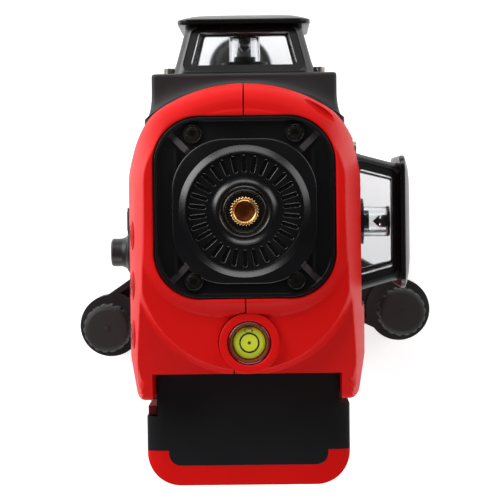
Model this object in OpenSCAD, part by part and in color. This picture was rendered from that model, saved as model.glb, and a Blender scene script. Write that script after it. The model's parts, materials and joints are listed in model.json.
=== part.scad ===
// Twelve-line self-levelling laser level on a rotating three-foot levelling base.
// +Z is up, +Y is the front cage, +X is the side cage, millimetres throughout.
// The origin is the mouth of the base's tripod thread, on the base's turning axis.

/* [Levelling base] */
// Turn of the three feet about the turning axis, in degrees
base_yaw = 2.6; // [0:0.1:5]
// Radius of the circle through the three foot screws
foot_circle_r = 71; // [68:1:74]
// Drop from the mount plane to the floor
floor_drop = 14; // [13.5:0.5:15]
// Thickness of the three arms
arm_t = 12; // [11:0.5:12]
// Radius of the hub
hub_r = 30; // [28:1:31]
// Height of the hub
hub_h = 22; // [21:0.5:22]
// Radius of a fluted foot knob
knob_r = 10; // [9:0.5:10.5]
// Flutes round a foot knob
knob_flutes = 18; // [12:1:20]

/* [Body] */
// Height of the top face over the mount plane
top_z = 176; // [175:0.5:177]
// Height of the body's underside over the mount plane
body_bottom_z = 62; // [61:0.5:62]
// Half of the body's width at its widest
body_half_w = 42; // [41.5:0.5:42.5]
// Radius of the body's front arc, seen from above
front_arc_r = 52; // [51:0.5:53]
// Wall of the red shells
wall = 2.5; // [2:0.25:3]
// Width of the square top plate
plate_w = 60; // [59:0.5:61]
// Corner radius of the top plate
plate_corner_r = 15.5; // [14:0.5:17]
// Radial slots round the boss of the top plate
plate_slots = 30; // [24:1:40]

/* [Window cages] */
// Width of a cage at its foot
cage_w = 50; // [48:0.5:51]
// Width of a cage at its outer end
cage_end_w = 41; // [40:0.5:42]
// Width of an end cap
cap_w = 46.5; // [44:0.5:47]
// Height of the front and side laser axes
cage_z = 120; // [119:0.5:121]
// Length of a cage from its foot to its end cap
cage_len = 17.4; // [17:0.1:18]

/* [Battery] */
// Half of the width of the battery's neck
neck_half_w = 32; // [31:0.5:32]
// Half of the battery's full width
battery_half_w = 35.7; // [35:0.1:36]
// Height of the battery's top face
battery_top_z = 142; // [141:0.5:144]
// Height of the battery's underside
battery_bottom_z = 68; // [67:0.5:68.5]

/* [Hidden] */

$fn = 64;
eps = 0.01;
big = 300;

// Colours of the real finishes
red = [0.83, 0.10, 0.08];
black = [0.07, 0.07, 0.075];
dark = [0.14, 0.14, 0.15];
brass = [0.80, 0.60, 0.28];
steel = [0.62, 0.62, 0.64];
rubber = [0.11, 0.11, 0.11];
clear = [0.85, 0.90, 0.92, 0.35];

// Base stack
insert_r = 15;
insert_h = 8;
tripod_r = 7.1;
cavity_r = 14;
cavity_top = 13;
spindle_r = 10;
run_gap = 0.05;
arm_root_half = 14;
arm_neck_half = 11.6;
arm_end_r = 13.2;
tray_depth = 3.5;
tray_rim = 2.5;
stud_r = 3;
bush_r = 5;
knob_bottom_z = 16.8;
knob_top_z = 31.5;
pad_r = 11.5;
pad_h = 6;
table_r = 27;
table_bottom_z = hub_h + 0.4;
table_top_z = 29.4;
mount_stud_r = 3.17;

// Angles of the feet: left rear, right rear, front
foot_left = base_yaw + 210;
foot_right = base_yaw + 330;
foot_front = base_yaw + 90;

// Body outline
front_arc_y = 2;
corner_arc_r = 30;
corner_arc_x = body_half_w - corner_arc_r;
corner_arc_y = front_arc_y + sqrt(pow(front_arc_r - corner_arc_r, 2) - pow(corner_arc_x, 2));
arc_join_x = corner_arc_x * front_arc_r / (front_arc_r - corner_arc_r);
flank_r = 175;
flank_low_r = 420;
flank_z = 122;
ear_y = -53.4;
screw_seat = 9;
bay_y = -45;
bay_half_w = neck_half_w + 0.3;
bay_floor_z = 66;
parting = 0.25;
tower_half_w = 36.5;
tower_y = -7;
deck_y = -24;
deck_z = 171;
deck_rear_z = 168;
shoulder_z = 168;
shoulder_rear_z = 158;
top_round = 9;

// Top plate
plate_y = 12.3;
plate_flange_w = plate_w + 5;
plate_flange_z = top_z - wall - 3;
pad_w = 48.2;
pad_corner_r = 18;
pad_y = 11;
boss_r = 11.4;
dish_r = 21.8;
slot_in_r = 13;
slot_out_r = 19;
top_insert_r = 5;
top_thread_r = 3.2;
plate_screw_x = 17;
plate_screw_y = 24.5;
plate_screw_r = 1.5;
head_r = 2.3;

// Vial
vial_x = 1;
vial_y = -33;
vial_r = 7.2;
vial_boss_r = 10.3;
vial_top_z = 172.5;
vial_h = 9;

// Cages, in their own frame: w runs outward from the cage's foot
collar_half = 29;
collar_hole_r = 17;
front_foot_y = 58.6;
side_foot_x = 36.5;
side_y = 6.5;
bottom_foot_z = 52;
cage_foot_t = 3;
cage_frame_t = 2.8;
strut = 5.5;
cage_corner_r = 4.5;
cage_wall = 3;
cap_corner_r = 4.5;
glass_t = 1.5;
screw_off = 26.3;
screw_y = 18.9;
cage_head_r = 2;
cage_screw_len = 3.8;

// Pendulum
gimbal_y = 2.8;
gimbal_z = 154;
block_left_x = -12;
block_x = 9;
block_rear_y = -8;
block_front_y = 14.5;
block_low_z = 98;
block_top_z = 136;
module_r = 7.5;
tube_r = 5.5;
cone_r = 2.3;
pin_r = 1.5;
bracket_w = 38;
bracket_d = 14;
cheek_w = 10;
cheek_t = 4;
ring_r = 13;
ring_bore_r = 9;
ring_h = 6;
hanger_w = 9;
hanger_d = 12;
hanger_h = 10;
rod_r = 3;
weight_r = 7;
arm_x = -17;
arm_y = -33;
arm_w = 22;
arm_h = 8;
plate_t = 3;
magnet_r = 4;
magnet_h = 7;
magnet_post_h = 24;
seat_r = 8.25;
seat_h = 2.5;
nozzle_r = 3.9;
nozzle_h = 2;
tube_t = 0.9;
tube_h = 8.5;
cone_foot = 9;
cone_top = 14;

// Controls
knob_y = -4;
knob_z = 112;
lock_throw = 2.4;
fork_z = 138;
fork_t = 4;
slider_x = -24.5;
slider_y = -11;
slider_low_z = 104;
shaft_r = 3.2;
crank_r = 1.5;
flange_r = 7.5;
grip_r = 5.1;
key_y = [3, -14, -31];
key_z = 154;
key_r = 4.8;
key_travel = 3.3;
key_flange = 1.2;
board_w = 18;
board_l = 48;
board_t = 1.6;
board_drop = 9.2;
key_tilt = asin((key_z - flank_z) / flank_r);
key_x = -(body_half_w - flank_r * (1 - cos(key_tilt)));
port_y = 7.6;
port_z = 121;
socket_w = 7.8;
socket_h = 4.8;
cover_w = 9.4;

// Battery
cell_r = 9.1;
cell_h = 65;
cell_y = -67.5;
cell_gap = 0.5;
cell_z = battery_bottom_z + 4;
cell_bay_half = 28.6;
cell_bay_y = -57;
shoulder_y = -57.2;
shoulder_w = battery_half_w - neck_half_w;
seam_y = -73;
cover_r = 12;
cover_rear_y = -85.4;
tongue_h = 6;
tongue_half_w = 28;
tongue_y = -74.2;
tongue_r = 4.2;
contact_x = [-9, 0, 9];
contact_w = 2.4;
contact_h = 10;
contact_z = 84;
contact_y = -49.4;
latch_bay_y = -61;
latch_bay_z = 118;
latch_bay_d = 3.9;
latch_drop = 2;
latch_travel = 1.4;
fit_gap = 0.3;

// ---- shared shapes ----

module rounded_square(w, r, h) {
  corner = w / 2 - r;
  linear_extrude(h) square([2 * corner, w], center = true);
  linear_extrude(h) square([w, 2 * corner], center = true);
  for (x = [-corner, corner], y = [-corner, corner]) translate([x, y, 0]) cylinder(r = r, h = h);
}

module at_foot(angle) {
  rotate([0, 0, angle]) translate([foot_circle_r, 0, 0]) children();
}

// The three cages stand on the front, on the right side and below the body
module on_front() translate([0, front_foot_y, cage_z]) rotate([-90, 0, 0]) children();
module on_side() translate([side_foot_x, side_y, cage_z]) rotate([90, 0, 90]) children();
module on_bottom() translate([0, 0, bottom_foot_z]) rotate([180, 0, 0]) children();

module tube(r_out, r_in, h) {
  difference() {
    cylinder(r = r_out, h = h);
    translate([0, 0, -1]) cylinder(r = r_in, h = h + 2);
  }
}

// ---- levelling base ----

module arm_plan(shrink) {
  root = arm_root_half - shrink;
  neck = arm_neck_half - shrink;
  polygon([[0, -root], [foot_circle_r, -neck], [foot_circle_r, neck], [0, root]]);
}

module base_frame() color(black) difference() {
  union() {
    cylinder(r = hub_r, h = hub_h);
    for (a = [foot_left, foot_right, foot_front]) rotate([0, 0, a]) {
      linear_extrude(arm_t) arm_plan(0);
      translate([foot_circle_r, 0, 0]) cylinder(r = arm_end_r, h = arm_t);
    }
  }
  for (a = [foot_left, foot_right, foot_front]) {
    rotate([0, 0, a]) translate([0, 0, arm_t - tray_depth]) linear_extrude(tray_depth + 1) difference() {
      arm_plan(tray_rim);
      circle(r = hub_r + 2);
      translate([foot_circle_r, 0]) circle(r = arm_end_r + 1);
      translate([foot_circle_r, -arm_end_r]) square(2 * arm_end_r);
    }
    at_foot(a) translate([0, 0, -1]) cylinder(r = bush_r + 0.02, h = arm_t + 2);
  }
  translate([0, 0, -1]) cylinder(r = insert_r + 0.02, h = insert_h + 1);
  translate([0, 0, insert_h - eps]) cylinder(r = cavity_r, h = cavity_top - insert_h);
  translate([0, 0, cavity_top - 1]) cylinder(r = spindle_r + run_gap, h = hub_h);
}

module tripod_insert() color(brass) tube(insert_r, tripod_r, insert_h);

module foot_bushes() color(brass)
  for (a = [foot_left, foot_right, foot_front]) at_foot(a) tube(bush_r, stud_r + run_gap, arm_t);

module foot_knob() color(dark) difference() {
  rotate_extrude() polygon([[0, knob_bottom_z], [7, knob_bottom_z], [8, knob_bottom_z + 2],
    [knob_r, knob_bottom_z + 3], [knob_r, knob_top_z - 2.2], [knob_r - 1, knob_top_z - 0.6],
    [knob_r - 2.4, knob_top_z], [1.2, knob_top_z], [1.2, knob_top_z + 0.3], [0, knob_top_z + 0.3]]);
  translate([0, 0, knob_bottom_z - 1]) cylinder(r = stud_r + 0.02, h = 9);
  for (i = [0:knob_flutes - 1]) rotate([0, 0, i * 360 / knob_flutes])
    translate([knob_r + 0.55, 0, knob_bottom_z]) cylinder(r = 1.15, h = knob_top_z, $fn = 16);
}

module foot_stud() color(steel) {
  translate([0, 0, -9.7]) cylinder(r = stud_r, h = knob_bottom_z + 8 + 9.7);
  translate([0, 0, 2.5 - floor_drop]) cylinder(r = 6, h = 2);
}

module foot_pad() color(rubber) translate([0, 0, -floor_drop]) difference() {
  rotate_extrude() polygon([[0, 0], [pad_r - 1, 0], [pad_r, 1.2], [pad_r, 2.8], [pad_r - 2.5, pad_h],
    [0, pad_h]]);
  translate([0, 0, 2.3]) cylinder(r = 6.2, h = 2.4);
  translate([0, 0, 4]) cylinder(r = stud_r + 0.4, h = pad_h);
}

module turntable() color(black) difference() {
  union() {
    rotate_extrude() polygon([[0, table_bottom_z], [table_r - 1, table_bottom_z],
      [table_r, table_bottom_z + 1], [table_r, table_top_z - 1.5], [table_r - 1.5, table_top_z],
      [0, table_top_z]]);
    translate([0, 0, cavity_top - 0.4]) cylinder(r = spindle_r, h = table_bottom_z - cavity_top + 1);
  }
  translate([0, 0, cavity_top - 2]) cylinder(r = 4.02, h = 9);
  translate([0, 0, table_bottom_z + 1]) cylinder(r = mount_stud_r + 0.02, h = 20);
}

module turntable_bolt() color(steel) {
  translate([0, 0, cavity_top - 3.6]) cylinder(r = 13, h = 3.2);
  translate([0, 0, cavity_top - 0.4 - eps]) cylinder(r = 4, h = 7);
}

module mount_stud() color(steel)
  translate([0, 0, table_bottom_z + 1.2]) cylinder(r = mount_stud_r, h = 9.6);

// ---- red body ----

// Seen from above: a front arc, two corner arcs, straight flanks and tapered rear ears
module body_plan(inset) {
  half = body_half_w - inset;
  intersection() {
    translate([0, front_arc_y]) circle(r = front_arc_r - inset, $fn = 128);
    union() {
      translate([-corner_arc_x, corner_arc_y]) circle(r = corner_arc_r - inset, $fn = 96);
      translate([corner_arc_x, corner_arc_y]) circle(r = corner_arc_r - inset, $fn = 96);
      translate([-arc_join_x, corner_arc_y]) square([2 * arc_join_x, big]);
      translate([-half, -big]) square([2 * half, big + corner_arc_y]);
    }
  }
  polygon([[-half, -1], [-half, -40], [-half + 2.5, ear_y], [half - 2.5, ear_y], [half, -40], [half, -1]]);
}

// Seen from the front: flanks that bulge most at flank_z
function flank_x(z, inset) = let(r = z > flank_z ? flank_r : flank_low_r)
  body_half_w - r + sqrt(pow(r - inset, 2) - pow(z - flank_z, 2));

module body_front(inset) {
  levels = [body_bottom_z, 80, 100, flank_z, 130, 138, 146, 154, 160, 166, 171, top_z];
  polygon(concat([for (z = levels) [-flank_x(z, inset), z]],
    [for (i = [len(levels) - 1:-1:0]) [flank_x(levels[i], inset), levels[i]]]));
}

// Seen from the side: round front edge, then a low deck for the vial at the rear
module body_side(inset) {
  front = front_arc_y + front_arc_r - inset;
  high = top_z - inset;
  polygon(concat([[ear_y - 1, body_bottom_z + inset], [front, body_bottom_z + inset]],
    [for (a = [0:10:90]) [front - top_round * (1 - cos(a)), high - top_round * (1 - sin(a))]],
    [[plate_y - plate_w / 2 - 2, high], [deck_y, deck_z - inset], [ear_y - 1, deck_rear_z - inset]]));
}

// Outside the round tower behind the plate the rear shoulders lie lower
module shoulder_cut(inset) difference() {
  translate([-big / 2, 0, 0]) rotate([90, 0, 90]) linear_extrude(big) polygon([
    [ear_y - 2, shoulder_rear_z - inset], [deck_y, shoulder_z - inset], [deck_y + 4, big],
    [ear_y - 2, big]]);
  translate([0, tower_y, 0]) cylinder(r = tower_half_w - inset, h = 2 * big, $fn = 128);
}

module body_solid(inset) difference() {
  intersection() {
    linear_extrude(big) body_plan(inset);
    translate([0, big / 2, 0]) rotate([90, 0, 0]) linear_extrude(big) body_front(inset);
    translate([-big / 2, 0, 0]) rotate([90, 0, 90]) linear_extrude(big) body_side(inset);
  }
  shoulder_cut(inset);
}

module vial_boss() translate([vial_x, vial_y, vial_top_z - 11]) cylinder(r = vial_boss_r, h = 11);

module boss_places() for (p = [[-36, 74], [-36, 132], [30, 76], [30, 158]])
  translate([0, p[0], p[1]]) rotate([0, 90, 0]) children();

module battery_bay() translate([-bay_half_w, -big + bay_y, bay_floor_z]) cube([2 * bay_half_w, big, big]);

module side_pocket(grow)
  translate([side_foot_x - 4 - grow, side_y - collar_half - grow, cage_z - collar_half - grow])
    cube([big, 2 * (collar_half + grow), 2 * (collar_half + grow)]);

module key_frame(y) translate([key_x, y, key_z]) rotate([0, -90 + key_tilt, 0]) children();

// Both shells before they are parted
module shell() difference() {
  union() {
    difference() {
      body_solid(0);
      difference() {
        body_solid(wall);
        translate([-big / 2, bay_y + wall - big, 0]) cube([big, big, big]);
        side_pocket(wall);
        vial_boss();
        boss_places() translate([0, 0, -body_half_w]) cylinder(r = 4, h = 2 * body_half_w);
      }
    }
    vial_boss();
  }
  battery_bay();
  side_pocket(0);
  translate([0, plate_y, top_z - wall - 4]) rounded_square(plate_w + 0.6, plate_corner_r + 0.3, 20);
  translate([0, plate_y, plate_flange_z - 0.2])
    rounded_square(plate_flange_w + 0.6, plate_corner_r + 2.8, 3.2);
  translate([0, big / 2, cage_z]) rotate([90, 0, 0]) cylinder(r = collar_hole_r + 2, h = big / 2);
  translate([0, side_y, cage_z]) rotate([0, 90, 0]) cylinder(r = collar_hole_r + 2, h = big);
  cylinder(r = collar_hole_r, h = body_bottom_z + wall + 1);
  translate([vial_x, vial_y, vial_top_z - vial_h]) cylinder(r = vial_r + 0.1, h = big);
  for (y = key_y) key_frame(y) translate([0, 0, -10]) cylinder(r = key_r + 0.3, h = 20);
  translate([0, knob_y, knob_z]) rotate([0, -90, 0]) cylinder(r = 3.3, h = big);
  translate([-body_half_w - 5, port_y - 4, port_z - 2.5]) cube([12, 8, 5]);
  translate([-body_half_w - 5, port_y - 5, port_z - 5.6]) cube([5.8, 10, 11.8]);
  boss_places() {
    translate([0, 0, -big / 2]) cylinder(r = 1.55, h = big / 2 + 12);
    translate([0, 0, -big / 2 - body_half_w + screw_seat]) cylinder(r = 3.1, h = big / 2);
  }
}

// The joint runs down the middle and round the left of the vial boss
module left_side() difference() {
  translate([-big, -big / 2, 0]) cube([big - parting, big, big]);
  translate([vial_x, vial_y, vial_top_z - 16]) cylinder(r = vial_boss_r + parting, h = big);
}

module right_side() {
  translate([parting, -big / 2, 0]) cube([big, big, big]);
  translate([vial_x, vial_y, vial_top_z - 16 + parting]) cylinder(r = vial_boss_r - parting, h = big);
}

module left_shell() color(red) intersection() {
  shell();
  left_side();
}

module right_shell() color(red) intersection() {
  shell();
  right_side();
}

module shell_screws() color(steel) boss_places() {
  translate([0, 0, screw_seat - body_half_w]) {
    translate([0, 0, -2]) cylinder(r = 2.9, h = 2);
    translate([0, 0, -eps]) cylinder(r = 1.5, h = body_half_w + 10 - screw_seat);
  }
}

// ---- top plate ----

module plate_corner_rib(a) rotate([0, 0, a]) translate([27, -1.6, 0]) cube([8.5, 3.2, 4.6]);

module plate_screw_places()
  for (x = [-1, 1], y = [-1, 1]) translate([x * plate_screw_x, plate_y + y * plate_screw_y, 0]) children();

module top_plate() color(black) difference() {
  union() {
    translate([0, plate_y, plate_flange_z]) rounded_square(plate_flange_w, plate_corner_r + 2.5, 2.8);
    difference() {
      translate([0, plate_y, plate_flange_z])
        rounded_square(plate_w, plate_corner_r, top_z - 0.5 - plate_flange_z);
      translate([0, plate_y, top_z - 3.4]) rounded_square(plate_w - 2.4, plate_corner_r - 1.2, 5);
    }
    translate([0, pad_y, plate_flange_z]) rounded_square(pad_w, pad_corner_r, top_z - 0.2 - plate_flange_z);
    intersection() {
      translate([0, plate_y, top_z - 4]) rounded_square(plate_w, plate_corner_r, 3.2);
      for (a = [45:90:315]) translate([0, plate_y, top_z - 4]) plate_corner_rib(a);
    }
    plate_screw_places() translate([0, 0, plate_flange_z])
      cylinder(r = head_r + 0.9, h = top_z - 3 - plate_flange_z);
  }
  translate([0, pad_y, 0]) {
    translate([0, 0, top_z - 1.6]) difference() {
      cylinder(r1 = dish_r - 2.4, r2 = dish_r, h = 1.8);
      translate([0, 0, -1]) cylinder(r = boss_r, h = 4);
    }
    for (i = [0:plate_slots - 1]) rotate([0, 0, i * 360 / plate_slots])
      translate([slot_in_r, -0.45, top_z - 2.4]) cube([slot_out_r - slot_in_r, 0.9, 2]);
    translate([0, 0, top_z - 0.9]) cylinder(r = 8.3, h = 2);
    translate([0, 0, top_z - 1.5]) cylinder(r = 6.9, h = 2);
    translate([0, 0, plate_flange_z - 1]) cylinder(r = top_insert_r + 0.02, h = 20);
  }
  plate_screw_places() {
    translate([0, 0, plate_flange_z - 1]) cylinder(r = plate_screw_r + 0.05, h = 20);
    translate([0, 0, top_z - 4.2]) cylinder(r = head_r + 0.1, h = 20);
  }
}

module top_insert() color(brass) translate([0, pad_y, plate_flange_z])
  tube(top_insert_r, top_thread_r, top_z - 0.4 - plate_flange_z);

module top_plate_screws() color(steel) plate_screw_places() {
  translate([0, 0, top_z - 4.2]) difference() {
    cylinder(r = head_r, h = 2.2);
    translate([0, 0, 0.8]) cylinder(r = 1.25, h = 3, $fn = 6);
  }
  translate([0, 0, top_z - 4.2 - 6]) cylinder(r = plate_screw_r, h = 6 + eps);
}

// ---- vial ----

module vial_cup() color(clear) translate([vial_x, vial_y, vial_top_z - vial_h]) difference() {
  cylinder(r = vial_r, h = vial_h - 0.3);
  translate([0, 0, 1.5]) cylinder(r = 5.2, h = 5.2);
}

module vial_liquid() color([0.75, 0.85, 0.15])
  translate([vial_x, vial_y, vial_top_z - vial_h + 1.5]) cylinder(r = 5.2, h = 5.2);

// ---- cages, in their own frame ----

// A square frustum with round corners between two widths
module frustum(w0, w1, h, r) hull() for (end = [[0, w0], [h - eps, w1]]) {
  corner = end[1] / 2 - r;
  translate([0, 0, end[0]]) linear_extrude(eps)
    for (x = [-corner, corner], y = [-corner, corner]) translate([x, y]) circle(r = r, $fn = 32);
}

// Width of a cage at a distance w from its foot
function cage_width(w) = cage_w + (cage_end_w - cage_w) * w / cage_len;

// The straight-sided hollow of a cage, less a gap, between two distances from its foot
module cage_hollow(gap, from, to) {
  walls = 2 * (cage_wall + gap);
  translate([0, 0, from])
    frustum(cage_width(from) - walls, cage_width(to) - walls, to - from, cage_corner_r - cage_wall);
}

// The opening in one side of a cage
module cage_window() {
  low = cage_foot_t;
  high = cage_len - cage_frame_t;
  half_low = cage_width(low) / 2 - strut;
  half_high = cage_width(high) / 2 - strut;
  polygon([[-half_low, low], [-half_high, high], [half_high, high], [half_low, low]]);
}

module cage() color(black) difference() {
  frustum(cage_w, cage_end_w, cage_len, cage_corner_r);
  cage_hollow(0, -1, cage_len + 1);
  for (a = [0, 90]) rotate([90, 0, a]) translate([0, 0, -big / 2]) linear_extrude(big) cage_window();
  cage_screw_places() translate([0, 0, -1]) cylinder(r = cage_head_r + 0.1, h = cage_foot_t + 2, $fn = 32);
}

module glass() color(clear) difference() {
  cage_hollow(0.1, 1, cage_len - 0.1);
  cage_hollow(glass_t, 0, cage_len + 1);
}

module end_cap() color(black) translate([0, 0, cage_len]) {
  rounded_square(cap_w, cap_corner_r, 2);
  translate([0, 0, 2 - eps]) frustum(cap_w - 2, cap_w - 9, 2.2, cap_corner_r - 1);
}

module cage_screw() {
  cylinder(r = cage_head_r, h = 2.4);
  translate([0, 0, -cage_screw_len]) cylinder(r = 1.2, h = cage_screw_len + eps);
}

module cage_screw_places()
  for (x = [-screw_off, screw_off], y = [-screw_y, screw_y]) translate([x, y, 0]) children();

module front_cage() on_front() cage();
module side_cage() on_side() cage();
module bottom_cage() on_bottom() cage();
module front_glass() on_front() glass();
module side_glass() on_side() glass();
module bottom_glass() on_bottom() glass();
module front_cap() on_front() end_cap();
module side_cap() on_side() end_cap();

// The bottom cap carries the whole instrument on the base's threaded stud
module bottom_cap() color(black) difference() {
  translate([0, 0, table_top_z])
    rounded_square(cap_w, cap_corner_r, bottom_foot_z - cage_len - table_top_z);
  translate([0, 0, table_top_z - 1]) cylinder(r = mount_stud_r + 0.02, h = 5);
}

module cage_screws() color(steel) {
  on_front() cage_screw_places() cage_screw();
  on_side() cage_screw_places() cage_screw();
  on_bottom() cage_screw_places() cage_screw();
}

module collar_screw_holes() cage_screw_places() translate([0, 0, -6]) cylinder(r = 1.25, h = 8);

module front_collar() color(black) difference() {
  translate([-32, 30, cage_z - collar_half]) cube([64, front_foot_y - 30, 2 * collar_half]);
  linear_extrude(big) body_plan(-run_gap);
  on_front() translate([0, 0, -40]) cylinder(r = collar_hole_r, h = 50);
  on_front() collar_screw_holes();
}

module side_collar() color(black) difference() {
  translate([side_foot_x - 4, side_y - collar_half + 0.1, cage_z - collar_half + 0.1])
    cube([4, 2 * collar_half - 0.2, 2 * collar_half - 0.2]);
  on_side() translate([0, 0, -10]) cylinder(r = collar_hole_r, h = 20);
  on_side() collar_screw_holes();
}

module bottom_collar() color(black) difference() {
  translate([0, 0, bottom_foot_z]) rounded_square(2 * collar_half, 8, body_bottom_z - bottom_foot_z);
  cylinder(r = collar_hole_r, h = big);
  on_bottom() collar_screw_holes();
}

// ---- pendulum ----

module gimbal_bracket() color(steel) difference() {
  union() {
    translate([-bracket_w / 2, gimbal_y - bracket_d / 2, plate_flange_z - plate_t])
      cube([bracket_w, bracket_d, plate_t]);
    for (x = [-bracket_w / 2, bracket_w / 2 - cheek_t])
      translate([x, gimbal_y - cheek_w / 2, gimbal_z - cheek_t])
        cube([cheek_t, cheek_w, plate_flange_z - gimbal_z + cheek_t - plate_t + 1]);
  }
  translate([-big / 2, gimbal_y, gimbal_z]) rotate([0, 90, 0]) cylinder(r = pin_r + run_gap, h = big);
}

module gimbal_ring() color(brass) difference() {
  translate([0, gimbal_y, gimbal_z - ring_h / 2]) tube(ring_r, ring_bore_r, ring_h);
  translate([-big / 2, gimbal_y, gimbal_z]) rotate([0, 90, 0]) cylinder(r = pin_r + eps, h = big);
  translate([0, gimbal_y + big / 2, gimbal_z]) rotate([90, 0, 0]) cylinder(r = pin_r + eps, h = big);
}

// Two pins join the bracket to the ring, and two join the ring to the hanger
module gimbal_pins() color(steel) translate([0, gimbal_y, gimbal_z]) {
  outer = (bracket_w - 1) / 2;
  inner = ring_r - 0.2;
  for (a = [0, 180]) rotate([0, 0, a]) translate([ring_bore_r + 0.5, 0, 0]) rotate([0, 90, 0])
    cylinder(r = pin_r, h = outer - ring_bore_r - 0.5);
  for (a = [90, 270]) rotate([0, 0, a]) translate([cheek_t, 0, 0]) rotate([0, 90, 0])
    cylinder(r = pin_r, h = inner - cheek_t);
}

module pendulum_frame() color([0.55, 0.56, 0.58]) difference() {
  union() {
    translate([-hanger_w / 2, gimbal_y - hanger_d / 2, gimbal_z - hanger_h / 2])
      cube([hanger_w, hanger_d, hanger_h]);
    translate([0, gimbal_y, block_top_z - 1]) cylinder(r = rod_r, h = gimbal_z - block_top_z - 3);
    translate([0, gimbal_y, gimbal_z - 9]) cylinder(r = weight_r, h = 2);
    translate([block_left_x, block_rear_y, block_low_z])
      cube([block_x - block_left_x, block_front_y - block_rear_y, block_top_z - block_low_z]);
    translate([arm_x, arm_y, block_low_z + plate_t + 1]) cube([arm_w, block_rear_y - arm_y + 1, arm_h]);
  }
  translate([0, gimbal_y + big / 2, gimbal_z]) rotate([90, 0, 0]) cylinder(r = pin_r + run_gap, h = big);
}

// A laser module from its seat on the block, reach mm behind the cage's foot
module laser_module(reach) {
  translate([0, 0, -reach]) cylinder(r = module_r, h = reach + cage_foot_t);
  translate([0, 0, cage_foot_t - eps]) cylinder(r = seat_r, h = seat_h);
  translate([0, 0, cage_foot_t + seat_h - 2 * eps]) cylinder(r = nozzle_r, h = nozzle_h);
}

module front_module() color(black) on_front() laser_module(front_foot_y - block_front_y);
module side_module() color(black) on_side() laser_module(side_foot_x - block_x);
module bottom_module() color(black) on_bottom() laser_module(block_low_z - bottom_foot_z);

module module_tube() translate([0, 0, cage_foot_t + seat_h]) tube(tube_r, tube_r - tube_t, tube_h);

module module_tubes() color(clear) {
  on_front() module_tube();
  on_side() module_tube();
  on_bottom() module_tube();
}

module cone_mirror() {
  translate([0, 0, cone_foot]) cylinder(r1 = 0, r2 = cone_r, h = cone_r + eps);
  translate([0, 0, cone_foot + cone_r]) cylinder(r = cone_r, h = cone_top - cone_foot - cone_r + eps);
  translate([0, 0, cone_top]) cylinder(r = tube_r, h = 1);
}

module cone_mirrors() color(steel) {
  on_front() cone_mirror();
  on_side() cone_mirror();
  on_bottom() cone_mirror();
}

module damping_plate() color([0.72, 0.42, 0.25])
  translate([arm_x, arm_y, block_low_z + 1]) cube([arm_w, bracket_w / 2 - 1, plate_t]);

// A block on the floor of the body holds two magnets under the damping plate
module damping_magnets() color(steel) {
  floor_z = body_bottom_z + wall;
  translate([arm_x + 2, arm_y + 2, floor_z]) cube([arm_w - 4, 13, magnet_post_h]);
  for (x = [-11, -1]) translate([x, arm_y + 8.5, floor_z + magnet_post_h])
    cylinder(r = magnet_r, h = magnet_h);
}

// ---- controls ----

module lock_knob() color(black) translate([0, knob_y, knob_z]) rotate([0, -90, 0]) {
  face = body_half_w + fit_gap;
  translate([0, 0, 26]) cylinder(r = shaft_r, h = 17);
  translate([0, lock_throw, 20.3]) cylinder(r = crank_r, h = 5.7 + eps);
  rotate_extrude() polygon([[0, face], [flange_r, face], [flange_r, face + 1.1], [5.8, face + 2.1],
    [grip_r, face + 3.7], [grip_r, face + 6.9], [grip_r - 0.6, face + 7.5], [0, face + 7.5]]);
}

// An upright with a slot for the crank, and a fork that lifts against the pendulum's rod
module lock_slider() color(dark) difference() {
  union() {
    translate([slider_x, slider_y, slider_low_z]) cube([4, 14, fork_z - slider_low_z + 2]);
    translate([slider_x, slider_y, fork_z]) cube([33, 24, fork_t]);
  }
  translate([slider_x - 1, knob_y - 2.1, knob_z - 1.8]) cube([6, 6.6, 4.1]);
  translate([-hanger_w / 2, gimbal_y - 4.5, fork_z - 8]) cube([30, 9, 20]);
}

module key(y) color(dark) key_frame(y) {
  translate([0, 0, -2]) cylinder(r = key_r, h = 2.4);
  translate([0, 0, -4.4]) cylinder(r = key_r + key_flange, h = 1.2);
  translate([0, 0, -key_travel]) cylinder(r = 3, h = 1.5);
}

module key_mode() key(key_y[0]);
module key_pulse() key(key_y[1]);
module key_level() key(key_y[2]);

module main_board() color([0.05, 0.30, 0.12]) key_frame(key_y[1])
  translate([-board_w / 2, -board_l / 2, -board_drop]) cube([board_w, board_l, board_t]);

module charge_socket() color(steel) translate([0.9 - body_half_w, port_y, port_z])
  translate([0, -socket_w / 2, -socket_h / 2]) cube([6, socket_w, socket_h]);

module port_cover() color(rubber) translate([-body_half_w, port_y, port_z]) {
  translate([-1.2, -cover_w / 2, -5.3]) cube([1.7, cover_w, 9.7]);
  translate([-0.4, cover_w / 2, 5]) rotate([90, 0, 0]) cylinder(r = 0.8, h = cover_w);
}

// ---- battery ----

module battery_plan() {
  translate([-battery_half_w, seam_y]) square([2 * battery_half_w, shoulder_y - seam_y]);
  translate([-neck_half_w, shoulder_y - 1]) square([2 * neck_half_w, bay_y - fit_gap - shoulder_y + 1]);
}

// The black tongue that reaches back into the top of the red cover
module battery_tongue() {
  inner = tongue_half_w - tongue_r;
  translate([-tongue_half_w, tongue_y]) square([2 * tongue_half_w, 10]);
  translate([-inner, tongue_y - tongue_r]) square([2 * inner, 10]);
  for (x = [-inner, inner]) translate([x, tongue_y]) circle(r = tongue_r);
}

module battery_rear_plan() intersection() {
  corner = battery_half_w - cover_r;
  arc_y = cover_rear_y + cover_r;
  translate([-battery_half_w, cover_rear_y]) square([2 * battery_half_w, seam_y - 0.1 - cover_rear_y]);
  union() {
    translate([-battery_half_w, arc_y]) square([2 * battery_half_w, cover_r]);
    translate([-corner, cover_rear_y]) square([2 * corner, cover_r]);
    for (x = [-corner, corner]) translate([x, arc_y]) circle(r = cover_r);
  }
}

module cell_bay(depth) translate([-cell_bay_half, cell_bay_y - depth, cell_z - cell_gap])
  cube([2 * cell_bay_half, depth, cell_h + 2 * cell_gap]);

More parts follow.
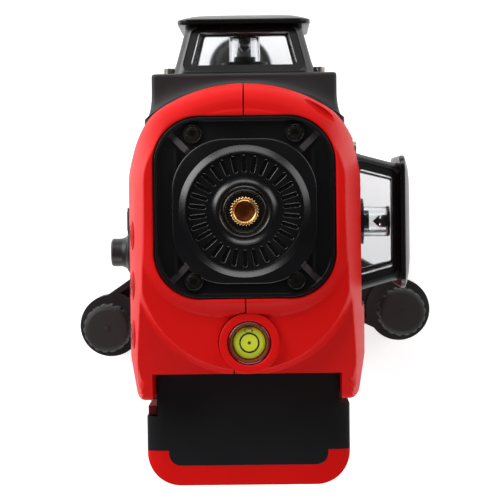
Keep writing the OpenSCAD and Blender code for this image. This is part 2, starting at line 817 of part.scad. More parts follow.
// The latch's slot runs up through the left shoulder, with a pocket under the top of the neck
module latch_bay() translate([0, latch_bay_y, latch_bay_z]) {
  translate([-battery_half_w - 1, 0, 0]) cube([shoulder_w + 1.1, latch_bay_d, battery_top_z]);
  translate([-neck_half_w, 0, 0])
    cube([latch_travel + 0.1, latch_bay_d, battery_top_z - latch_drop + 0.2 - latch_bay_z]);
}

module battery_case() color(black) difference() {
  union() {
    translate([0, 0, battery_bottom_z]) linear_extrude(battery_top_z - battery_bottom_z) battery_plan();
    translate([0, 0, battery_top_z - tongue_h]) linear_extrude(tongue_h) battery_tongue();
  }
  cell_bay(33);
  latch_bay();
  for (x = contact_x) translate([x - contact_w / 2 - 0.05, contact_y - 0.1, contact_z - 0.1])
    cube([contact_w + 0.1, 5, contact_h + 0.2]);
}

module battery_cover() color(red) difference() {
  translate([0, 0, battery_bottom_z]) linear_extrude(battery_top_z - battery_bottom_z) battery_rear_plan();
  translate([0, 0, battery_top_z - tongue_h - 0.1]) linear_extrude(big) battery_tongue();
  cell_bay(23);
}

module battery_cells() color([0.10, 0.25, 0.50])
  for (x = [-19, 0, 19]) translate([x, cell_y, cell_z]) cylinder(r = cell_r, h = cell_h);

module battery_terminals() color(brass)
  for (x = contact_x) translate([x - contact_w / 2, contact_y, contact_z])
    cube([contact_w, 4, contact_h]);

module battery_latch() color([0.55, 0.06, 0.06])
  translate([0.5 - battery_half_w, latch_bay_y + fit_gap, latch_bay_z + fit_gap])
    cube([shoulder_w - 0.6, latch_bay_d - 2 * fit_gap, battery_top_z - latch_drop - latch_bay_z - fit_gap]);

base_frame();
tripod_insert();
foot_bushes();
at_foot(foot_left) foot_knob();  // foot_knob_left
at_foot(foot_right) foot_knob();  // foot_knob_right
at_foot(foot_front) foot_knob();  // foot_knob_front
at_foot(foot_left) foot_stud();  // foot_stud_left
at_foot(foot_right) foot_stud();  // foot_stud_right
at_foot(foot_front) foot_stud();  // foot_stud_front
at_foot(foot_left) foot_pad();  // foot_pad_left
at_foot(foot_right) foot_pad();  // foot_pad_right
at_foot(foot_front) foot_pad();  // foot_pad_front
turntable();
turntable_bolt();
mount_stud();
left_shell();
right_shell();
top_plate();
top_insert();
top_plate_screws();
front_collar();
side_collar();
bottom_collar();
front_cage();
side_cage();
bottom_cage();
front_cap();
side_cap();
bottom_cap();
front_glass();
side_glass();
bottom_glass();
cage_screws();
shell_screws();
vial_cup();
vial_liquid();
gimbal_bracket();
gimbal_ring();
gimbal_pins();
pendulum_frame();
front_module();
side_module();
bottom_module();
module_tubes();
cone_mirrors();
damping_plate();
damping_magnets();
lock_knob();
lock_slider();
key_mode();
key_pulse();
key_level();
main_board();
charge_socket();
port_cover();
battery_case();
battery_cover();
battery_cells();
battery_terminals();
battery_latch();
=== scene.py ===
import json
import math

import bmesh
import bpy
import numpy as np
from mathutils import Matrix, Vector


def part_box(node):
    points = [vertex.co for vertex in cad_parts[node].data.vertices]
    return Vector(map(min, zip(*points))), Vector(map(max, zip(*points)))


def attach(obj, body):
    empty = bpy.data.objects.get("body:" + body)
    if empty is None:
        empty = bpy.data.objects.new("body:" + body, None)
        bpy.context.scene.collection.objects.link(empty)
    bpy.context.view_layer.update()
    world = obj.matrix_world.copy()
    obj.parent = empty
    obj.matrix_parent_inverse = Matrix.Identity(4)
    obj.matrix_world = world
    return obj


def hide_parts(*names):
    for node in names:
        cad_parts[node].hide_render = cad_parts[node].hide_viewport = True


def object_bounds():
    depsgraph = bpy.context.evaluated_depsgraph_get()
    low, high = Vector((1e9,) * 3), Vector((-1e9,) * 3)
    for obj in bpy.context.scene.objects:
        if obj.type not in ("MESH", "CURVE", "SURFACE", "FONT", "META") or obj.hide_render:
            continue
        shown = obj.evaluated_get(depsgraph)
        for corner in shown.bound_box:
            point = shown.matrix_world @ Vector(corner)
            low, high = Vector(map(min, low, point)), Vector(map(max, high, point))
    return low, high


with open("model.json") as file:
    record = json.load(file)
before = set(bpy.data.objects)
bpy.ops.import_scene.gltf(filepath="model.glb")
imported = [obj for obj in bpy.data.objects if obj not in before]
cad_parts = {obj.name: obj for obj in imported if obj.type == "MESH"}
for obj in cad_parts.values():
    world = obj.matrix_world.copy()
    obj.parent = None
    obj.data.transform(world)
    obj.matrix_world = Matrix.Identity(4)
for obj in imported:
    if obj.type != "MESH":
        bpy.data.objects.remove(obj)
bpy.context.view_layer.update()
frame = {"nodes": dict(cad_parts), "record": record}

MM = 0.001

# ---- sizes in millimetres, in the frame of the part ----
TOP_Z = 176.0
BODY_BOTTOM_Z = 62.0
BODY_HALF = 42.0
FLANK_Z = 122.0  # height of the widest line
FLANK_R = 175.0  # bow of the flanks above it
FLANK_LOW_R = 420.0  # and below it
FRONT_R = 52.0
FRONT_Y = 2.0
FRONT_SLOPE_D = 9.0  # how far in the front's rounded edge reaches
FRONT_SLOPE_H = 12.0  # and how high
CORNER_R = 30.0
CORNER_X = BODY_HALF - CORNER_R
CORNER_Y = FRONT_Y + math.sqrt((FRONT_R - CORNER_R) ** 2 - CORNER_X ** 2)
EAR_Y = -53.4  # rear edge of the shoulders beside the battery
EAR_R = 1.6
BAY_Y = -44.2  # front wall of the battery bay
BAY_HALF = 32.3
SKIN = 0.08  # how far the smooth skin lies inside the CAD one
WALL = 2.4
LIP_R = 0.9  # round edge of the skin at the plate
FOOT_R = 3.0  # round edge of the skin at its bottom
BOTTOM_HOLE_R = 17.0
PLATE_Y = 12.3
PLATE_HALF = 30.0
PLATE_R = 15.5
PLATE_SCREW = (17.0, 24.5)  # from the plate's middle
PAD_Y = 11.0  # middle of the plate's raised pad
PAD_HALF = 24.1
PAD_R = 17.8
DECK_Z = 171.0  # top surface at DECK_Y, which falls backwards
DECK_Y = -24.0
DECK_SLOPE = 0.0909
TOWER_R = 36.5  # round step behind the plate
TOWER_Y = -7.0
MOUND_HALF = 36.5
MOUND_POWER = 2.75
VIAL = (1.0, -33.0)
VIAL_BORE_R = 7.35
VIAL_BOSS_R = 10.15
PARTING = 0.22  # half the gap between the shells
STEP_X = -4.3  # the parting line steps aside below the vial
STEP_Y = -36.0
CAGE_Z = 120.0
CAGE_LEN = 17.4
FRONT_FOOT_Y = 58.6
SIDE_FOOT_X = 36.5
SIDE_Y = 6.5
BOTTOM_FOOT_Z = 52.0
KEY_Y = (3.0, -14.0, -31.0)
KEY_Z = 154.0
KEY_TILT = math.asin((KEY_Z - FLANK_Z) / FLANK_R)
KEY_X = -(BODY_HALF - FLANK_R * (1 - math.cos(KEY_TILT)))
KEY_SIGN_H = 0.42
KNOB_Y, KNOB_Z = -4.0, 112.0
FAR = 100.0  # beyond the whole part
FLOOR_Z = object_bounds()[0].z  # in metres


# ---- mesh helpers ----
def mesh_object(name, verts, faces):
    """A new object from points in millimetres."""
    mesh = bpy.data.meshes.new(name)
    mesh.from_pydata([tuple(c * MM for c in v) for v in verts], [], faces)
    mesh.validate()
    obj = bpy.data.objects.new(name, mesh)
    bpy.context.scene.collection.objects.link(obj)
    return obj


def fix_normals(obj):
    """Turns every face outwards."""
    bm = bmesh.new()
    bm.from_mesh(obj.data)
    bmesh.ops.recalc_face_normals(bm, faces=bm.faces)
    bm.to_mesh(obj.data)
    bm.free()


def smooth(obj, angle=35):
    """Smooth shading between nearly flat neighbours, led by the larger faces."""
    obj.data.polygons.foreach_set("use_smooth", [True] * len(obj.data.polygons))
    obj.data.set_sharp_from_angle(angle=math.radians(angle))
    mod = obj.modifiers.new("normals", "WEIGHTED_NORMAL")
    mod.mode = "FACE_AREA"
    mod.weight = 80
    mod.keep_sharp = True
    freeze(obj)


def freeze(obj):
    """Applies an object's modifiers to its mesh."""
    graph = bpy.context.evaluated_depsgraph_get()
    mesh = bpy.data.meshes.new_from_object(obj.evaluated_get(graph))
    obj.modifiers.clear()
    obj.data = mesh


def weld(obj):
    """Joins a mesh's split edges."""
    bm = bmesh.new()
    bm.from_mesh(obj.data)
    bmesh.ops.remove_doubles(bm, verts=bm.verts, dist=2e-6)
    bmesh.ops.dissolve_degenerate(bm, edges=bm.edges, dist=1e-6)
    bm.to_mesh(obj.data)
    bm.free()


def boolean(obj, other, operation="DIFFERENCE"):
    """Combines obj with another object, which is then deleted."""
    group = bpy.data.collections.new("cutter")
    group.objects.link(other)
    mod = obj.modifiers.new("cut", "BOOLEAN")
    mod.operation = operation
    mod.operand_type = "COLLECTION"
    mod.collection = group
    mod.solver = "EXACT"
    freeze(obj)
    bpy.data.objects.remove(other)
    bpy.data.collections.remove(group)


def bevel(obj, width, angle=35):
    """Rounds the edges that are sharper than an angle."""
    mod = obj.modifiers.new("edges", "BEVEL")
    mod.width = width * MM
    mod.segments = 2
    mod.limit_method = "ANGLE"
    mod.angle_limit = math.radians(angle)
    mod.harden_normals = True
    mod.use_clamp_overlap = True
    mod.miter_outer = "MITER_ARC"
    freeze(obj)


def loop_faces(loops, count):
    """Faces of a ring of closed loops with the same number of points, the last joined to the first."""
    faces = []
    for i in range(loops):
        j = (i + 1) % loops
        for k in range(count):
            m = (k + 1) % count
            faces.append((i * count + k, j * count + k, j * count + m, i * count + m))
    return faces


def tube_faces(rings, count):
    """Faces between neighbouring rings of a stack, open at both ends."""
    faces = []
    for k in range(0, (rings - 1) * count, count):
        for i in range(count):
            j = (i + 1) % count
            faces.append((k + i, k + j, k + count + j, k + count + i))
    return faces


def stack(name, rings):
    """A closed solid through rings with the same number of points."""
    count = len(rings[0])
    faces = tube_faces(len(rings), count)
    faces.append(tuple(reversed(range(count))))
    faces.append(tuple(range((len(rings) - 1) * count, len(rings) * count)))
    obj = mesh_object(name, [v for ring in rings for v in ring], faces)
    fix_normals(obj)
    return obj


def lathe(name, profile, centre=(0, 0, 0), segments=96, wave=None):
    """A closed solid of revolution about +Z. wave(angle, r, z) may change each radius."""
    rows = len(profile)
    verts = []
    for i in range(segments):
        a = 2 * math.pi * i / segments
        for r, z in profile:
            rr = wave(a, r, z) if wave else r
            verts.append((centre[0] + rr * math.cos(a), centre[1] + rr * math.sin(a), centre[2] + z))
    obj = mesh_object(name, verts, loop_faces(segments, rows))
    bm = bmesh.new()
    bm.from_mesh(obj.data)
    bmesh.ops.remove_doubles(bm, verts=bm.verts, dist=1e-7)
    loose = [e for e in bm.edges if not e.link_faces]
    bmesh.ops.delete(bm, geom=loose, context="EDGES")
    bmesh.ops.recalc_face_normals(bm, faces=bm.faces)
    bm.to_mesh(obj.data)
    bm.free()
    return obj


def rounded_square(half, radius, steps=12):
    """Points round a square with round corners."""
    c = half - radius
    points = []
    for quarter, (sx, sy) in enumerate(((1, 1), (-1, 1), (-1, -1), (1, -1))):
        for i in range(steps + 1):
            a = math.pi / 2 * (quarter + i / steps)
            points.append((sx * c + radius * math.cos(a), sy * c + radius * math.sin(a)))
    return points


def ring_stack(name, half, radius, profile, place=lambda p: p, steps=12, taper=1.0):
    """A closed solid of round-cornered squares, one for each (inset, height) of the profile.

    taper is the share of the inset by which the corner radius shrinks.
    """
    rings = []
    for inset, z in profile:
        corner = max(radius - inset * taper, 0.05)
        rings.append([place((x, y, z)) for x, y in rounded_square(half - inset, corner, steps)])
    return stack(name, rings)


def prism(name, near, far):
    """A solid between two outlines with the same number of points."""
    return stack(name, [near, far])


def rounded(points, radius, steps=5):
    """An outline of (u, w) points with its corners rounded."""
    out = []
    count = len(points)
    for i, point in enumerate(points):
        here = Vector(point)
        before = (Vector(points[i - 1]) - here).normalized()
        after = (Vector(points[(i + 1) % count]) - here).normalized()
        half_angle = before.angle(after) / 2
        reach = radius / math.tan(half_angle)
        centre = here + (before + after).normalized() * radius / math.sin(half_angle)
        start, end = here + before * reach - centre, here + after * reach - centre
        for k in range(steps + 1):
            spoke = start.lerp(end, k / steps).normalized() * radius
            out.append(tuple(centre + spoke))
    return out


def block(name, low, high):
    """A box between two corners."""
    (x0, y0, z0), (x1, y1, z1) = low, high
    verts = [(x, y, z) for x in (x0, x1) for y in (y0, y1) for z in (z0, z1)]
    faces = [(0, 1, 3, 2), (4, 6, 7, 5), (0, 4, 5, 1), (2, 3, 7, 6), (0, 2, 6, 4), (1, 5, 7, 3)]
    obj = mesh_object(name, verts, faces)
    fix_normals(obj)
    return obj


def rod(name, radius, start, end, segments=48):
    """A round bar between two points."""
    start, end = Vector(start), Vector(end)
    length = (end - start).length
    obj = lathe(name, [(0, 0), (radius, 0), (radius, length), (0, length)], segments=segments)
    turn = (end - start).to_track_quat("Z", "Y").to_matrix().to_4x4()
    obj.data.transform(Matrix.Translation(start * MM) @ turn)
    return obj


def on_front(p):
    """From the front cage's own frame, with Z away from the body, to the part's."""
    return (p[0], FRONT_FOOT_Y + p[2], CAGE_Z - p[1])


def on_side(p):
    """The same for the side cage."""
    return (SIDE_FOOT_X + p[2], SIDE_Y + p[0], CAGE_Z + p[1])


def on_bottom(p):
    """The same for the bottom cage."""
    return (p[0], -p[1], BOTTOM_FOOT_Z - p[2])


def on_plate(p):
    """From the middle of the top plate to the part's frame."""
    return (p[0], PLATE_Y + p[1], p[2])


def on_pad(p):
    """From the middle of the plate's raised pad to the part's frame."""
    return (p[0], PAD_Y + p[1], p[2])


def copied(name, source):
    """A new object with its own copy of another's mesh."""
    obj = bpy.data.objects.new(name, source.data.copy())
    bpy.context.scene.collection.objects.link(obj)
    return obj


# ---- materials ----
def new_tree(name):
    """A new material with a bare Principled shader."""
    mat = bpy.data.materials.new(name)
    mat.use_nodes = True
    tree = mat.node_tree
    tree.nodes.clear()
    out = tree.nodes.new("ShaderNodeOutputMaterial")
    shader = tree.nodes.new("ShaderNodeBsdfPrincipled")
    tree.links.new(shader.outputs[0], out.inputs[0])
    return mat, tree, shader


def noise(tree, scale, detail, stretch=(1, 1, 1)):
    """A noise texture in the part's own frame; scale is in waves a metre."""
    coords = tree.nodes.new("ShaderNodeTexCoord")
    mapping = tree.nodes.new("ShaderNodeMapping")
    mapping.inputs["Scale"].default_value = stretch
    texture = tree.nodes.new("ShaderNodeTexNoise")
    texture.inputs["Scale"].default_value = scale
    texture.inputs["Detail"].default_value = detail
    tree.links.new(coords.outputs["Object"], mapping.inputs[0])
    tree.links.new(mapping.outputs[0], texture.inputs["Vector"])
    return texture.outputs["Fac"]


def spread(tree, value, low, high, start=0.3, end=0.7):
    """Maps a value between start and end to one between low and high."""
    node = tree.nodes.new("ShaderNodeMapRange")
    node.inputs["From Min"].default_value = start
    node.inputs["From Max"].default_value = end
    node.inputs["To Min"].default_value = low
    node.inputs["To Max"].default_value = high
    tree.links.new(value, node.inputs["Value"])
    return node.outputs[0]


def blend_colour(tree, factor, dark, light):
    """A colour between two others."""
    node = tree.nodes.new("ShaderNodeMix")
    node.data_type = "RGBA"
    node.inputs[6].default_value = (*dark, 1)
    node.inputs[7].default_value = (*light, 1)
    tree.links.new(factor, node.inputs[0])
    return node.outputs[2]


def scaled(colour, k):
    """A colour made darker or lighter."""
    return tuple(min(1.0, c * k) for c in colour)


def finish_material(name, colour, rough, grain=1800, bump=0.12, depth=0.00006, patch=25, shift=0.1,
                    metallic=0.0, coat=0.0, stretch=(1, 1, 1), specular=0.5, rough_spread=0.07):
    """A finish with uneven colour, uneven roughness and a grain that stands proud.

    grain and patch are in waves a metre, depth is the grain's height in metres, and shift is the
    share by which the colour varies.
    """
    mat, tree, shader = new_tree(name)
    large = noise(tree, patch, 4, stretch)
    fine = noise(tree, grain, 2, stretch)
    tree.links.new(blend_colour(tree, large, scaled(colour, 1 - shift), scaled(colour, 1 + shift)),
                   shader.inputs["Base Color"])
    tree.links.new(spread(tree, large, rough - rough_spread, rough + rough_spread),
                   shader.inputs["Roughness"])
    shader.inputs["Metallic"].default_value = metallic
    shader.inputs["Coat Weight"].default_value = coat
    shader.inputs["Coat Roughness"].default_value = 0.25
    shader.inputs["Specular IOR Level"].default_value = specular
    node = tree.nodes.new("ShaderNodeBump")
    node.inputs["Strength"].default_value = bump
    node.inputs["Distance"].default_value = depth
    tree.links.new(fine, node.inputs["Height"])
    tree.links.new(node.outputs[0], shader.inputs["Normal"])
    return mat


def glass_material(name, colour, rough=0.02, ior=1.5):
    """Clear glass with faint smears."""
    mat, tree, shader = new_tree(name)
    smear = noise(tree, 60, 3)
    tree.links.new(spread(tree, smear, rough, rough + 0.05), shader.inputs["Roughness"])
    tree.links.new(blend_colour(tree, smear, scaled(colour, 0.97), colour), shader.inputs["Base Color"])
    shader.inputs["IOR"].default_value = ior
    shader.inputs["Transmission Weight"].default_value = 1.0
    return mat


RED = (0.655, 0.006, 0.005)
M = {
    "red_plastic": finish_material(
        "red satin plastic", RED, 0.5, grain=2600, bump=0.10, shift=0.06, specular=0.1),
    "black_plastic": finish_material(
        "black moulded plastic", (0.017, 0.017, 0.018), 0.42, grain=1900, bump=0.2, specular=0.4),
    "black_textured": finish_material(
        "black textured plastic", (0.0018, 0.0018, 0.0026), 0.3, grain=2400, bump=0.3, specular=0.65),
    # corner rib tops: a lighter, faintly red-violet black as a painted highlight and reflection
    "rib_painted_highlight": finish_material(
        "black plastic with painted rib highlight", (0.04, 0.03, 0.034), 0.42, grain=1500, bump=0.2, patch=60, shift=0.3),
    "battery_black": finish_material(
        "matt battery plastic", (0.0058, 0.0064, 0.0076), 0.55, grain=3200, bump=0.2, specular=0.22),
    "base_black": finish_material(
        "black base casting", (0.013, 0.013, 0.014), 0.45, grain=1200, bump=0.3),
    "knob_rubber": finish_material("dark knob rubber", (0.009, 0.008, 0.0075), 0.6, grain=2000, bump=0.3),
    "foot_rubber": finish_material("foot rubber", (0.014, 0.014, 0.014), 0.75, grain=1500, bump=0.4),
    "brass": finish_material(
        "machined brass", (0.76, 0.46, 0.18), 0.33, grain=900, bump=0.04, metallic=1.0,
        stretch=(1, 1, 6), shift=0.12),
    # brass inside the bore, darker and redder: painted shade in the hole
    "brass_painted_bore_shade": finish_material(
        "brass darkened as painted bore shade", (0.55, 0.17, 0.04), 0.38, grain=900, bump=0.1, metallic=1.0, shift=0.35,
        patch=500),
    "steel": finish_material(
        "turned steel", (0.55, 0.54, 0.53), 0.3, grain=900, bump=0.1, metallic=1.0, stretch=(1, 1, 8)),
    "warm_steel": finish_material(
        "warm screw steel", (0.36, 0.33, 0.30), 0.32, grain=1200, bump=0.1, metallic=1.0, shift=0.2),
    "screw_steel": finish_material(
        "blackened screw steel", (0.09, 0.08, 0.07), 0.26, grain=1200, bump=0.15, metallic=1.0,
        shift=0.25),
    "clear_glass": glass_material("clear window glass", (0.94, 0.95, 0.96)),
    "clear_acrylic": finish_material(
        "maroon vial cup", (0.15, 0.006, 0.008), 0.2, grain=300, bump=0.03, patch=90, shift=0.2,
        coat=0.25),
    "vial_green": finish_material(
        "vial liquid", (0.70, 0.78, 0.045), 0.12, grain=400, bump=0.02, patch=180, shift=0.08, coat=0.6),
    "die_cast": finish_material(
        "die-cast zinc", (0.40, 0.41, 0.43), 0.42, grain=800, bump=0.3, metallic=1.0),
    "black_anodised": finish_material(
        "black anodised aluminium", (0.03, 0.03, 0.034), 0.34, grain=1500, bump=0.1, metallic=0.85,
        stretch=(1, 1, 5)),
    "cone_mirror": finish_material(
        "cone mirror", (0.85, 0.86, 0.88), 0.1, grain=300, bump=0.02, metallic=1.0, rough_spread=0.03),
    "copper": finish_material(
        "damping copper", (0.80, 0.36, 0.20), 0.32, grain=700, bump=0.15, metallic=1.0, shift=0.18),
    # the latch is red, darkened here as painted shade for its shadowed place beside the battery
    "latch_red": finish_material("red latch darkened as painted shade", (0.08, 0.006, 0.007), 0.38, grain=1800, bump=0.2),
    "board_green": finish_material(
        "circuit board", (0.015, 0.12, 0.04), 0.35, grain=600, bump=0.2, patch=300, shift=0.35),
    "cell_blue": finish_material("cell sleeve", (0.02, 0.08, 0.30), 0.3, grain=800, bump=0.1, coat=0.4),
    "ink": finish_material("printed black ink", (0.01, 0.01, 0.01), 0.5, grain=1500, bump=0.1),
    "olive_ink": finish_material("vial mark", (0.10, 0.10, 0.012), 0.4, grain=1500, bump=0.1),
    "grey_ink": finish_material("key marking", (0.12, 0.01, 0.01), 0.5, grain=1500, bump=0.1),
}


def dress(obj, body, slot, *nodes, material=None):
    """Gives a new piece its body, finish and the CAD nodes that it stands for."""
    obj.data.materials.clear()
    obj.data.materials.append(M[material or slot])
    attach(obj, body)
    if nodes:
        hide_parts(*nodes)


NODE_BODY = {n: b for b, ns in frame["record"]["behaviour"]["bodies"].items() for n in ns}
NODE_SLOT = {s["node"]: s["material_slot"] for s in frame["record"]["subparts"]}
LOOKS = {"cage_screws": "warm_steel"}  # nodes whose finish differs from their slot's


def refined(node, width):
    """A copy of a CAD node with joined faces and rounded edges, in its place."""
    obj = copied(node + "_fine", frame["nodes"][node])
    weld(obj)
    if width:
        bevel(obj, width)
    smooth(obj)
    dress(obj, NODE_BODY[node], NODE_SLOT[node], node, material=LOOKS.get(node))


# ---- the red body ----
def smooth_min(a, b, k):
    """The smaller of two values, with their crossing rounded over a width k."""
    h = np.clip(0.5 + 0.5 * (b - a) / k, 0, 1)
    return b * (1 - h) + a * h - k * h * (1 - h)


def ramp(t):
    """A smooth step from 0 to 1."""
    t = np.clip(t, 0, 1)
    return t * t * (3 - 2 * t)


def outline(x, y, inset):
    """How far a point lies inside the plan, and how much the nearest wall faces the front."""
    ax = np.abs(x)
    taper_from, taper_slope = -40, 2.5 / 16
    flank = BODY_HALF - np.clip(taper_from - y, 0, None) * taper_slope - ax
    corner_angle = np.degrees(np.arctan2(y - CORNER_Y, ax - CORNER_X))
    corner = CORNER_R - np.hypot(ax - CORNER_X, y - CORNER_Y)
    front = FRONT_R - np.hypot(x, y - FRONT_Y)
    front_angle = np.degrees(np.arctan2(y - FRONT_Y, ax))
    join = math.degrees(math.atan2(CORNER_Y - FRONT_Y, CORNER_X))
    past = y > CORNER_Y
    in_corner = past & (corner_angle < join) & (ax > CORNER_X)
    d = np.where(in_corner, corner, np.where(past, front, flank))
    facing = np.where(in_corner, corner_angle, np.where(past, front_angle, 0.0))
    rear = y - EAR_Y
    return smooth_min(d, rear, 2.0) - inset, d - inset, facing, rear - inset


def level(x, y):
    """Height of the top inside its edges: plate mound, then vial deck, then rear shoulders."""
    mound_start, mound_reach = 2, 12
    shoulder_fall, step_round, mound_rise = 10 / 60, 1.3, 4.6
    deck = DECK_Z + (y - DECK_Y) * DECK_SLOPE
    deck = deck + (TOP_Z - deck) * ramp((y - mound_start) / mound_reach)
    drop = shoulder_fall * np.clip(mound_start - y, 0, None)
    reach = TOWER_R - np.where(y < TOWER_Y, np.hypot(x, y - TOWER_Y), np.abs(x))
    z = deck - drop * (1 - ramp((reach + step_round) / (2 * step_round)))
    around = (np.abs(x / MOUND_HALF) ** MOUND_POWER + np.abs((y - PLATE_Y) / MOUND_HALF) ** MOUND_POWER)
    inside = (1 - around ** (1 / MOUND_POWER)) * MOUND_HALF
    share = smooth_min(inside / mound_rise, np.ones_like(inside), 0.5) + 0.02
    return z + (TOP_Z - z) * np.clip(share, 0, 1)


def top_height(x, y, inset):
    """Height of the red body's upper surface, with its edges rounded."""
    side_angle, front_angle = 12, 58  # the flank's edge turns into the front's between these
    _, d, facing, rear = outline(x, y, inset)
    d = np.clip(d, 0, None)
    side_d = np.clip(d, 0, 60)
    side = FLANK_Z + np.sqrt(np.clip(2 * FLANK_R * side_d - side_d ** 2, 0, None))
    front_d = np.clip(d / FRONT_SLOPE_D, 0, 1)
    front = (TOP_Z - FRONT_SLOPE_H + FRONT_SLOPE_H * np.sqrt(np.clip(1 - (1 - front_d) ** 2, 0, 1))
             + np.clip(d - FRONT_SLOPE_D, 0, None))
    w = ramp((facing - side_angle) / (front_angle - side_angle))
    edge = side * (1 - w) + front * w
    round_off = np.clip(EAR_R - rear, 0, EAR_R)
    edge_drop = EAR_R - np.sqrt(np.clip(EAR_R ** 2 - round_off ** 2, 0, None))
    return smooth_min(edge, level(x, y), 1.4) - edge_drop - inset


def march(start, direction, inset, limit_y):
    """Where rays from the middle leave the plan, or pass behind limit_y."""
    longest, halvings = 120.0, 40
    low, high = np.zeros(len(direction)), np.full(len(direction), longest)
    for _ in range(halvings):
        mid = (low + high) / 2
        x, y = start[:, 0] + direction[:, 0] * mid, start[:, 1] + direction[:, 1] * mid
        inside = (outline(x, y, inset)[0] > 0) & (y > limit_y)
        low, high = np.where(inside, mid, low), np.where(inside, high, mid)
    return start + direction * low[:, None]


def opening(angles):
    """The plate's hole, seen from above."""
    gap, tiny = 0.3, 1e-9
    half, radius = PLATE_HALF + gap, PLATE_R + gap
    c = half - radius
    points = []
    for a in angles:
        dx, dy = abs(math.cos(a)), abs(math.sin(a))
        t = min(half / max(dx, tiny), half / max(dy, tiny))
        if dx * t > c and dy * t > c:
            b = c * (dx + dy)
            t = b + math.sqrt(max(b * b - 2 * c * c + radius * radius, 0))
        points.append((math.cos(a) * t, PLATE_Y + math.sin(a) * t))
    return np.array(points)


def resample(points, count):
    """Spreads count rows along each profile, closer together where it bends, and alike on neighbours."""
    length_share, bend_share, window, neighbours = 0.12, 9.0, 9, 6
    index = np.arange(points.shape[1])
    place = np.zeros((points.shape[0], count))
    for i, line in enumerate(points):
        step = np.diff(line, axis=0)
        length = np.linalg.norm(step, axis=1) + 1e-9
        unit = step / length[:, None]
        turn = np.zeros(len(line))
        turn[1:-1] = np.linalg.norm(np.diff(unit, axis=0), axis=1)
        turn = np.convolve(turn, np.ones(window) / window, mode="same")
        weight = length * length_share + bend_share * (turn[1:] + turn[:-1]) / 2
        along = np.concatenate([[0], np.cumsum(weight)])
        place[i] = np.interp(np.linspace(0, along[-1], count), along, index)
    shifts = range(-neighbours, neighbours + 1)
    place = sum(np.roll(place, k, axis=0) for k in shifts) / len(shifts)
    out = np.zeros((points.shape[0], count, 3))
    for i, line in enumerate(points):
        for c in range(3):
            out[i, :, c] = np.interp(place[i], index, line[:, c])
    return out


def inward_normal(edge, inset):
    """The plan's inward direction at points of its edge."""
    eps = 0.05
    here = outline(edge[:, 0], edge[:, 1], inset)[0]
    gx = (outline(edge[:, 0] + eps, edge[:, 1], inset)[0] - here) / eps
    gy = (outline(edge[:, 0], edge[:, 1] + eps, inset)[0] - here) / eps
    size = np.hypot(gx, gy) + 1e-9
    return np.stack([gx / size, gy / size], 1)


def profiles(direction, hole, inset, limit_y):
    """One profile a direction: over the top, down the wall, round its foot and in to the lower hole."""
    top_steps, wall_steps, foot_steps, under_steps = 260, 90, 16, 12
    middle = np.tile([[0.0, PLATE_Y]], (len(direction), 1))
    edge = march(middle, direction, inset, limit_y)
    t = 1 - (1 - np.linspace(0, 1, top_steps)) ** 3
    plan = hole[:, None, :] + (edge - hole)[:, None, :] * t[None, :, None]
    z = top_height(plan[..., 0], plan[..., 1], inset)
    if inset <= SKIN:
        lip = np.linalg.norm(plan - hole[:, None, :], axis=2)
        gone = np.clip(LIP_R - lip, 0, LIP_R)
        z = z - (LIP_R - np.sqrt(LIP_R ** 2 - gone ** 2))
    top = np.dstack([plan, z])

    normal = inward_normal(edge, inset)
    bottom = BODY_BOTTOM_Z + (inset if inset > SKIN else 0)
    fall = np.linspace(0, 1, wall_steps)[None, :]
    wall_z = z[:, -1:] + (bottom + FOOT_R - z[:, -1:]) * fall
    tuck = FLANK_LOW_R - np.sqrt(FLANK_LOW_R ** 2 - np.clip(FLANK_Z - wall_z, 0, None) ** 2)
    bow = np.clip(wall_z - FLANK_Z, 0, None)
    tuck = tuck + (FLANK_R - np.sqrt(FLANK_R ** 2 - bow ** 2))
    tuck = tuck * normal[:, :1] ** 2
    wall = np.dstack([edge[:, None, :] + normal[:, None, :] * tuck[..., None], wall_z])

    foot = wall[:, -1:, :]
    arc = np.linspace(0, math.pi / 2, foot_steps)[None, 1:]
    inward = FOOT_R * (1 - np.cos(arc))
    curve = np.dstack([foot[..., :2] + normal[:, None, :] * inward[..., None],
                       foot[..., 2] - FOOT_R * np.sin(arc) * np.ones((len(direction), 1))])

    u = np.linspace(0, 1, under_steps)[None, 1:, None]
    last = curve[:, -1:, :2]
    under = last + (direction[:, None, :] * BOTTOM_HOLE_R - last) * u
    under = np.dstack([under, np.full((len(direction), under_steps - 1), bottom)])
    return np.concatenate([top, wall[:, 1:, :], curve, under], 1)


def body_mesh(name, angles_count, rows, inner_rows):
    """The hollow body: an outer and an inner skin, joined at the plate's hole and at the lower hole."""
    angles = np.linspace(0, 2 * math.pi, angles_count, endpoint=False)
    direction = np.stack([np.cos(angles), np.sin(angles)], 1)
    hole = opening(angles)
    outer = resample(profiles(direction, hole, SKIN, -FAR), rows)
    inner = resample(profiles(direction, hole, WALL, BAY_Y + WALL), inner_rows)[:, ::-1, :]
    loop = np.concatenate([outer, inner], 1)
    obj = mesh_object(name, loop.reshape(-1, 3).tolist(), loop_faces(angles_count, rows + inner_rows))
    fix_normals(obj)
    return obj


def key_matrix(y):
    """Stands a key made at the origin square to the flank."""
    return (Matrix.Translation(Vector((KEY_X, y, KEY_Z)) * MM)
            @ Matrix.Rotation(-math.pi / 2 + KEY_TILT, 4, "Y"))


def finger_groove():
    """A long hollow in the body's shoulder, between the front and the side cage."""
    half_round = [(math.sin(a), -math.cos(a)) for a in np.linspace(0.2, 2.95, 14)]
    groove = lathe("groove", [(0, -1)] + half_round + [(0, 1)], segments=32)
    groove.data.transform(Matrix.Translation(Vector((25.6, 44.6, 172.2)) * MM)
                          @ Matrix.Rotation(math.radians(-37), 4, "Z")
                          @ Matrix.Rotation(math.radians(4), 4, "Y")
                          @ Matrix.Diagonal((8.8, 1.5, 3.0, 1)))
    return groove


